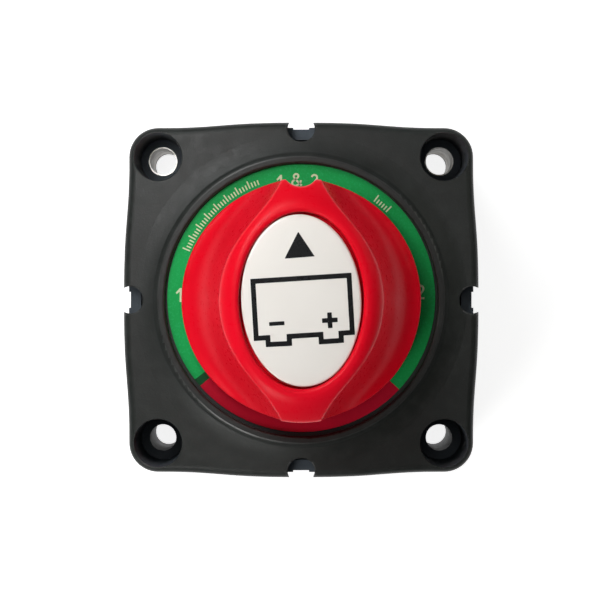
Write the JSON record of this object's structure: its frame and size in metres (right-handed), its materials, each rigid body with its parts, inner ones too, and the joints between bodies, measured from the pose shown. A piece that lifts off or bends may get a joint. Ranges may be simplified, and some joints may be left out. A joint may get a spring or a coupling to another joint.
{
  "type": "marine battery selector switch",
  "caption": "Square surface-mount battery selector switch with a round raised rim, printed dial, red turning knob with an eye-shaped grip and a snap-off rear cover.",
  "frame": {"origin": "centre of the rear mounting face, on the knob's axis", "axes": "+Z along the knob's axis towards the user, +Y towards the '1 & 2' position, +X to the right seen from the front"},
  "size_m": [0.069, 0.069, 0.0765],
  "materials": {
    "body_plastic": "fine-textured charcoal moulding",
    "cover_plastic": "fine-textured charcoal moulding",
    "sleeve_steel": "bright, slightly tarnished",
    "label_foil": "printed foil, green with a red sector",
    "knob_plastic": "semi-gloss moulded red",
    "insert_plastic": "glossy off-white",
    "screw_steel": "zinc-plated",
    "rotor_plastic": "moulded",
    "wheel_plastic": "natural acetal",
    "spring_steel": "spring steel",
    "washer_plastic": "white low-friction plastic",
    "seal_rubber": "nitrile",
    "copper": "copper, lightly oxidised",
    "base_plastic": "glass-filled thermoset",
    "stud_tinned": "tin-plated copper alloy",
    "nut_steel": "stainless"
  },
  "bodies": {
    "switch_body": {"housing": "body_plastic", "corner_sleeves": "sleeve_steel", "dial_label": "label_foil", "contact_base": "base_plastic", "base_gasket": "seal_rubber", "base_screws": "screw_steel", "stud_1": "stud_tinned", "stud_2": "stud_tinned", "stud_common": "stud_tinned", "stud_flat_washers": "nut_steel", "stud_spring_washers": "nut_steel", "stud_nuts": "nut_steel", "common_bus": "copper", "detent_springs": "spring_steel"},
    "knob_group": {"knob": "knob_plastic", "knob_insert": "insert_plastic", "knob_screw": "screw_steel", "knob_washer": "screw_steel", "rotor": "rotor_plastic", "index_wheel": "wheel_plastic", "thrust_washer": "washer_plastic", "shaft_seal": "seal_rubber", "moving_contact": "copper", "contact_spring": "spring_steel"},
    "back_cover": {"rear_cover": "cover_plastic"}
  },
  "joints": [
    {"name": "knob_turn", "type": "hinge", "parent": "switch_body", "child": "knob_group", "pos_m": [0, 0, 0.046], "axis": [0, 0, 1], "continuous": true, "deforming": ["detent_springs"]},
    {"name": "cover_release", "type": "slide", "parent": "switch_body", "child": "back_cover", "axis": [0, 0, -1], "range_m": [0, 0.045]}
  ]
}
